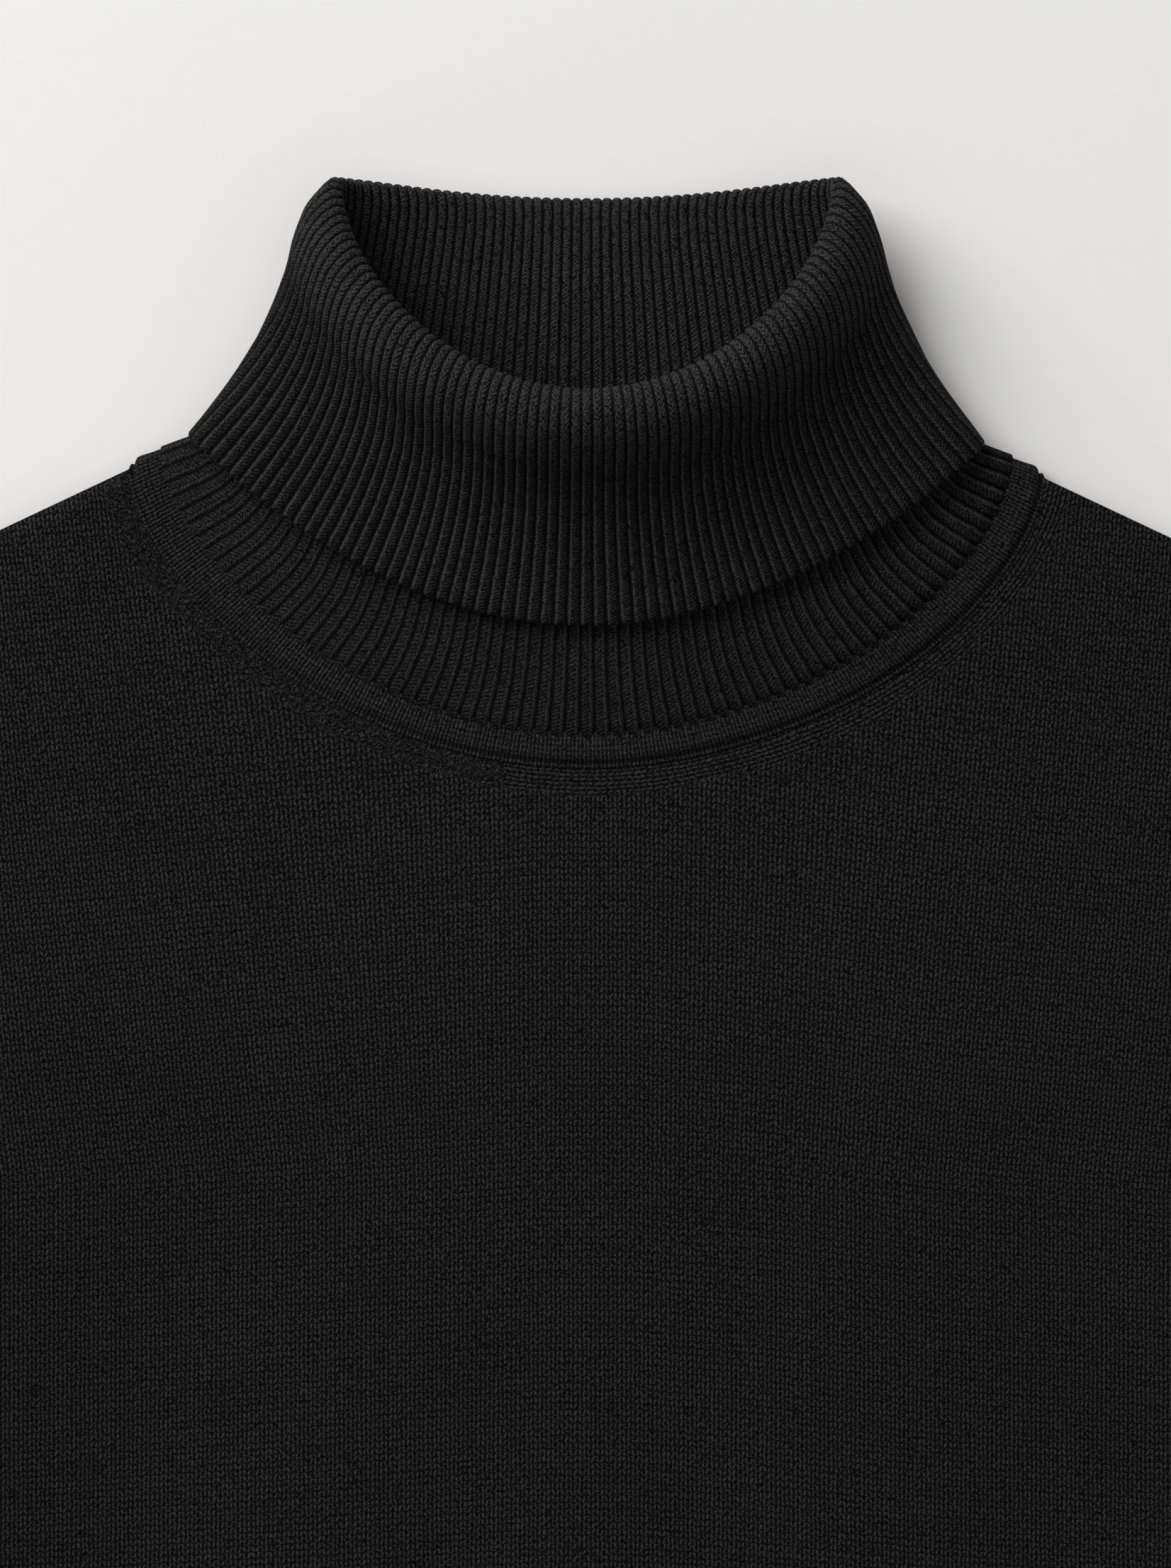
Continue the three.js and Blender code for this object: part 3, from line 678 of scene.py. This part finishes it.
def make_cuff(name, side):
    """A ribbed cuff, thinner at its open end."""
    columns = CUFF_RIBS * RIB_STEPS
    share, full, face = both_faces([0.0, 0.04, 0.25, 0.5, 0.75, 0.97, 1.0], [1, 1, 1, 1, 1, 1, 0.6])

    def place(i, j):
        j = j % len(share)
        t = mix(SLEEVE_END, 1.0, share[j])
        middle = sleeve_loop(i / columns, t, SLEEVE_RADIUS)
        outward = unit(sleeve_loop(i / columns, t, SLEEVE_RADIUS + 0.5) - middle + 1e-9)
        rib = RIB_RELIEF * wide_rib(i / RIB_STEPS)
        offset = face[j] * full[j] * (WALL / 2 + np.where(face[j] > 0, rib, 0))
        points = middle + outward * offset[:, None]
        points[:, 2] = np.maximum(points[:, 2], 0)
        return points * [side, 1, 1]

    def stitches(i, j):
        return i / RIB_STEPS + 0.5, -share[j % len(share)] * CUFF_LENGTH / COLLAR_COURSE

    return knitted(name, columns, len(share), place, stitches, closed=True)


# The yarn

class Yarn:
    """A wool material that is put together from maths nodes."""

    def __init__(self, name):
        self.material = bpy.data.materials.new(name)
        self.material.use_nodes = True
        self.tree = self.material.node_tree
        self.shader = self.tree.nodes["Principled BSDF"]
        self.place = self.tree.nodes.new("ShaderNodeTexCoord").outputs["Object"]

    def maths(self, operation, *values, clamp=False):
        node = self.tree.nodes.new("ShaderNodeMath")
        node.operation = operation
        node.use_clamp = clamp
        for socket, value in zip(node.inputs, values):
            if isinstance(value, (int, float)):
                socket.default_value = value
            else:
                self.tree.links.new(value, socket)
        return node.outputs[0]

    def add(self, a, b):
        return self.maths("ADD", a, b)

    def less(self, a, b):
        return self.maths("SUBTRACT", a, b)

    def times(self, a, b):
        return self.maths("MULTIPLY", a, b)

    def blend(self, a, b, share):
        return self.add(a, self.times(self.less(b, a), share))

    def noise(self, scale, detail=2.0, vector=None):
        node = self.tree.nodes.new("ShaderNodeTexNoise")
        node.inputs["Scale"].default_value = scale
        node.inputs["Detail"].default_value = detail
        self.tree.links.new(vector or self.place, node.inputs["Vector"])
        return node.outputs["Fac"]

    def wander(self, scale, reach, detail=2.0):
        """Noise round zero, such as how far stitches stray from their even rows."""
        return self.times(self.less(self.noise(scale, detail), 0.5), reach)

    def speckle(self, scale, detail, contrast):
        """Noise spread from 0 to 1 round a half."""
        return self.maths("ADD", self.wander(scale, contrast, detail), 0.5, clamp=True)

    def counts(self, layer):
        """The wale and course that a stitch map gives."""
        knit = self.tree.nodes.new("ShaderNodeUVMap")
        knit.uv_map = layer
        split = self.tree.nodes.new("ShaderNodeSeparateXYZ")
        self.tree.links.new(knit.outputs[0], split.inputs[0])
        return split.outputs[0], split.outputs[1]

    def pair(self, x, y):
        node = self.tree.nodes.new("ShaderNodeCombineXYZ")
        self.tree.links.new(x, node.inputs[0])
        self.tree.links.new(y, node.inputs[1])
        return node.outputs[0]

    def attribute(self, name):
        node = self.tree.nodes.new("ShaderNodeAttribute")
        node.attribute_name = name
        return node.outputs["Fac"]

    def finish(self, relief, fibres, tone, depth, shade):
        """Puts the relief on as bump, and colours the yarn: its tone on the crests, near black painted shade
        in the gaps.
        """
        bump = self.tree.nodes.new("ShaderNodeBump")
        bump.inputs["Distance"].default_value = depth * MM
        bump.inputs["Strength"].default_value = 1.0
        self.tree.links.new(self.add(relief, self.times(fibres, 0.25)), bump.inputs["Height"])
        self.tree.links.new(bump.outputs[0], self.shader.inputs["Normal"])
        # Painted shade: the yarn's tone is mixed to near black where the relief sinks, in the gaps between
        # stitches and strands
        tone_and_gap_shade = self.tree.nodes.new("ShaderNodeMix")
        tone_and_gap_shade.data_type = "RGBA"
        tone_and_gap_shade.inputs["A"].default_value = (0.0008, 0.0008, 0.0009, 1)
        tone_and_gap_shade.inputs["B"].default_value = (*tone, 1)
        self.tree.links.new(shade, tone_and_gap_shade.inputs["Factor"])
        self.tree.links.new(tone_and_gap_shade.outputs["Result"], self.shader.inputs["Base Color"])
        self.shader.inputs["Roughness"].default_value = 0.8
        self.shader.inputs["Specular IOR Level"].default_value = 0.05
        self.shader.inputs["Sheen Weight"].default_value = 0.012
        self.shader.inputs["Sheen Roughness"].default_value = 0.4
        return self.material


def stitch_grains(yarn, wale, course, lean=0.3, joint=3.2):
    """Plain stitches: two almond-shaped legs to a wale, leaning apart."""
    beside = yarn.times(yarn.maths("ABSOLUTE", yarn.less(yarn.maths("FRACT", wale), 0.5)), 2.0)
    rise = yarn.less(yarn.maths("FRACT", yarn.less(course, yarn.times(beside, lean))), 0.5)
    across = yarn.add(yarn.less(beside, 0.5), yarn.times(rise, -0.2))
    aside = yarn.maths("POWER", yarn.maths("ABSOLUTE", yarn.times(across, 2.25)), 2.0)
    above = yarn.maths("POWER", yarn.maths("ABSOLUTE", yarn.times(rise, 1.9)), joint)
    return yarn.maths("MAXIMUM", yarn.less(1.0, yarn.add(aside, above)), 0.0)


def fluff(yarn, shade):
    """Fine fibres that catch the light over the stitches: the new shade and the fibres alone."""
    fine = yarn.speckle(2300.0, 3.0, 4.5)
    tufts = yarn.speckle(650.0, 1.0, 2.2)
    shade = yarn.times(shade, yarn.add(yarn.times(fine, 1.9), 0.05))
    shade = yarn.times(shade, yarn.add(yarn.times(tufts, 0.3), 0.85))
    return yarn.times(shade, yarn.add(yarn.times(yarn.noise(45.0, 3.0), 0.6), 0.7)), fine


def body_yarn():
    """Plain knit that turns along the neck band near it, with uneven stitches left of the band."""
    yarn = Yarn("body_yarn")
    wander = yarn.wander(380.0, 0.3)
    wale, course = yarn.counts("knit")
    stitch = stitch_grains(yarn, yarn.add(wale, wander), yarn.add(course, wander))
    away, along = yarn.counts("edging")
    muddle = yarn.maths("MULTIPLY", yarn.less(8.0, away), yarn.maths("LESS_THAN", wale, -9.0), clamp=True)
    tangle = yarn.times(yarn.wander(900.0, 1.9, detail=1.0), muddle)
    edge_stitch = stitch_grains(yarn, yarn.add(yarn.add(away, wander), tangle), yarn.add(along, tangle))
    ragged = yarn.add(away, yarn.wander(160.0, 2.0, detail=1.0))
    inner = yarn.maths("MULTIPLY", yarn.less(ragged, 3.2), 2.0, clamp=True)
    relief = yarn.blend(edge_stitch, stitch, inner)
    streaks = yarn.noise(1.0, 1.0, vector=yarn.pair(yarn.times(wale, 0.04), yarn.times(course, 0.55)))
    # Painted shade: near black in the gaps between the stitch legs, where the relief is low
    shade, fine = fluff(yarn, yarn.add(yarn.times(relief, 0.95), 0.05))
    shade = yarn.times(shade, yarn.add(yarn.times(streaks, 0.6), 0.7))
    return yarn.finish(relief, fine, tone=(0.0318, 0.0314, 0.0312), depth=0.34, shade=shade)


def band_yarn():
    """Plain knit with long stitches that lean inwards."""
    yarn = Yarn("band_yarn")
    wale, course = yarn.counts("knit")
    wander = yarn.wander(400.0, 0.25)
    relief = stitch_grains(yarn, yarn.add(wale, wander), yarn.add(course, wander), lean=-0.5, joint=7.0)
    # Painted shade: near black in the gaps between the stitch legs, where the relief is low
    shade, fine = fluff(yarn, yarn.add(yarn.times(relief, 0.9), 0.1))
    return yarn.finish(relief, fine, tone=(0.0300, 0.0296, 0.0294), depth=0.28, shade=shade)


def rib_yarn():
    """Ribs: a leg of slanting strands on each side of a centre line that moves as the rib turns over."""
    yarn = Yarn("rib_yarn")
    wale, course = yarn.counts("knit")
    turned = yarn.attribute("turned")
    wander = yarn.wander(350.0, 0.22)
    share = yarn.maths("FRACT", yarn.add(wale, yarn.times(wander, 0.6)))
    shift = yarn.times(turned, 0.17)
    leg_width = 0.42
    centre = yarn.add(0.5, shift)
    left = yarn.maths("DIVIDE", yarn.less(centre, share), yarn.add(leg_width, shift))
    right = yarn.maths("DIVIDE", yarn.less(share, centre), yarn.less(leg_width, shift))
    beside = yarn.maths("MAXIMUM", left, right)
    strand = yarn.maths("FRACT", yarn.add(yarn.add(course, yarn.times(beside, 1.05)), wander))
    strand = yarn.maths("POWER", yarn.maths("SINE", yarn.times(strand, math.pi)), 1.3)
    outer = yarn.maths("MAXIMUM", yarn.less(yarn.times(beside, 2.0), 1.0), 0.0)
    leg = yarn.maths("MAXIMUM", yarn.less(1.0, yarn.maths("POWER", outer, 3.0)), 0.0)
    # The centre line between the legs sinks in the bump and, through the relief, is also painted darker as
    # shade
    crease = yarn.maths("MULTIPLY", beside, 4.0, clamp=True)
    leg = yarn.times(leg, yarn.add(yarn.times(crease, 0.35), 0.65))
    relief = yarn.times(leg, yarn.add(yarn.times(strand, 0.75), 0.25))
    # Painted light and shade: the narrow leg that stands up is coloured lighter, as if it caught the light,
    # and the broad leg darker
    to_right = yarn.less(yarn.times(yarn.maths("GREATER_THAN", share, centre), 2.0), 1.0)
    lit_narrow_leg = yarn.add(1.0, yarn.times(yarn.times(turned, to_right), 0.58))
    # Painted shade: near black in the grooves between ribs and between the legs
    shade, fine = fluff(yarn, yarn.times(yarn.add(yarn.times(relief, 0.93), 0.07), lit_narrow_leg))
    # Painted shade: the face of the collar that is turned over outwards is coloured a little darker, the face
    # under it a little lighter
    shade = yarn.times(shade, yarn.add(0.96, yarn.times(turned, 0.05)))
    return yarn.finish(relief, fine, tone=(0.0385, 0.0381, 0.0378), depth=0.26, shade=shade)


BODY_YARN, BAND_YARN, RIB_YARN = body_yarn(), band_yarn(), rib_yarn()


def dressed(piece, yarn, slot, *nodes):
    piece.data.materials.append(yarn)
    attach(piece, "root")
    if nodes:
        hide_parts(*nodes)
    return piece


collar = dressed(make_collar(), RIB_YARN, "rib_knit", "collar")
band = dressed(make_band(), BAND_YARN, "trim_knit", "neck_trim")
front = dressed(make_panel("front_panel", True), BODY_YARN, "body_knit", "front")
back = dressed(make_panel("back_panel", False), BODY_YARN, "body_knit", "back")
front_hem = dressed(make_hem("front_hem_rib", True), RIB_YARN, "rib_knit")
back_hem = dressed(make_hem("back_hem_rib", False), RIB_YARN, "rib_knit")
sleeve_left = dressed(make_sleeve("sleeve_left_knit", 1), BODY_YARN, "body_knit", "sleeve_left")
sleeve_right = dressed(make_sleeve("sleeve_right_knit", -1), BODY_YARN, "body_knit", "sleeve_right")
cuff_left = dressed(make_cuff("cuff_left_rib", 1), RIB_YARN, "rib_knit")
cuff_right = dressed(make_cuff("cuff_right_rib", -1), RIB_YARN, "rib_knit")


# The floor, the light and the camera

def make_floor():
    mesh = bpy.data.meshes.new("floor")
    sheet = bmesh.new()
    bmesh.ops.create_grid(sheet, x_segments=1, y_segments=1, size=40.0)
    sheet.to_mesh(mesh)
    sheet.free()
    floor = bpy.data.objects.new("floor", mesh)
    bpy.context.scene.collection.objects.link(floor)
    paper = bpy.data.materials.new("pale_paper")
    paper.use_nodes = True
    tree = paper.node_tree
    shader = tree.nodes["Principled BSDF"]
    place = tree.nodes.new("ShaderNodeTexCoord")
    grain = tree.nodes.new("ShaderNodeTexNoise")
    grain.inputs["Scale"].default_value = 260.0
    tone = tree.nodes.new("ShaderNodeMix")
    tone.data_type = "RGBA"
    tone.inputs["A"].default_value = (0.845, 0.838, 0.822, 1)
    tone.inputs["B"].default_value = (0.865, 0.858, 0.842, 1)
    tree.links.new(place.outputs["Object"], grain.inputs["Vector"])
    tree.links.new(grain.outputs["Fac"], tone.inputs["Factor"])
    tree.links.new(tone.outputs["Result"], shader.inputs["Base Color"])
    shader.inputs["Roughness"].default_value = 0.95
    shader.inputs["Specular IOR Level"].default_value = 0.1
    mesh.materials.append(paper)


def soft_light(name, place, size, power, aim):
    lamp = bpy.data.lights.new(name, "AREA")
    lamp.shape = "DISK"
    lamp.size = size
    lamp.energy = power
    light = bpy.data.objects.new(name, lamp)
    bpy.context.scene.collection.objects.link(light)
    light.location = place
    run = [a - b for a, b in zip(aim, place)]
    light.rotation_euler = (math.atan2(math.hypot(run[0], run[1]), -run[2]), 0,
                            math.atan2(-run[0], run[1]))


make_floor()
world = bpy.data.worlds.new("studio")
world.use_nodes = True
world.node_tree.nodes["Background"].inputs["Color"].default_value = (1.0, 1.0, 1.0, 1)
world.node_tree.nodes["Background"].inputs["Strength"].default_value = 0.34
bpy.context.scene.world = world
bpy.context.scene.view_settings.view_transform = "Standard"

# The middle of the picture, and the length of floor that it shows from top to bottom, in metres
MIDDLE = (-0.0003, 0.2311)
PICTURE_TALL = 0.357
CAMERA_HEIGHT = 2.5
SENSOR = 36.0

soft_light("window", place=(-1.6, 1.85, 1.45), size=2.3, power=90.0, aim=(0.0, MIDDLE[1], 0.0))

lens = bpy.data.cameras.new("camera")
lens.sensor_width = SENSOR
lens.lens = SENSOR * CAMERA_HEIGHT / PICTURE_TALL
lens.clip_end = 200.0
camera = bpy.data.objects.new("camera", lens)
bpy.context.scene.collection.objects.link(camera)
camera.location = (*MIDDLE, CAMERA_HEIGHT)
bpy.context.scene.camera = camera
